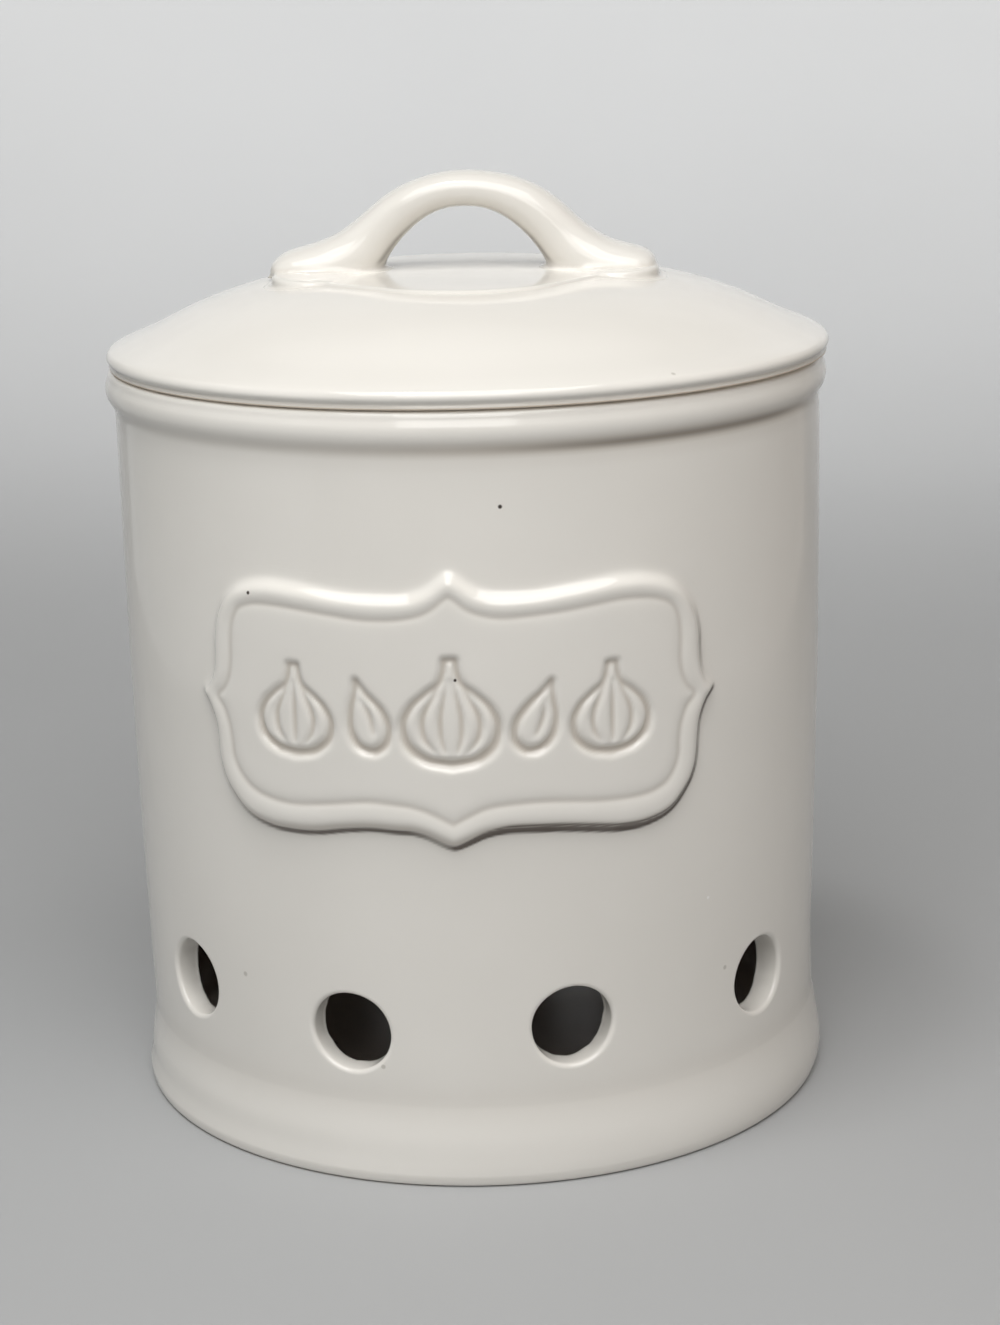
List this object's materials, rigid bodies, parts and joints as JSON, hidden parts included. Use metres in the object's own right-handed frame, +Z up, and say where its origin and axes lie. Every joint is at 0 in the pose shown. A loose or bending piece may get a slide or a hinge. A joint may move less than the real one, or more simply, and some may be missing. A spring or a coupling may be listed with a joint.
{
  "type": "garlic keeper",
  "caption": "Glazed ceramic garlic keeper: straight round pot with vent holes near the foot, a relief label plaque, and a loose domed lid with a strap handle.",
  "frame": {"origin": "centre of the foot ring, on the plane the pot stands on", "axes": "+Z up the pot's axis, -Y out through the middle of the label plaque, +X to the right seen from the front, along the handle"},
  "size_m": [0.1404, 0.141, 0.1794],
  "materials": {
    "cream_glaze": "glossy cream-white glaze"
  },
  "bodies": {
    "vessel": {"vessel": "cream_glaze", "label_plaque": "cream_glaze"},
    "lid": {"lid": "cream_glaze", "handle_pad": "cream_glaze", "lid_handle": "cream_glaze"}
  },
  "joints": [
    {"name": "lid_lift", "type": "slide", "parent": "vessel", "child": "lid", "axis": [0, 0, 1], "range_m": [0, 0.12]}
  ]
}
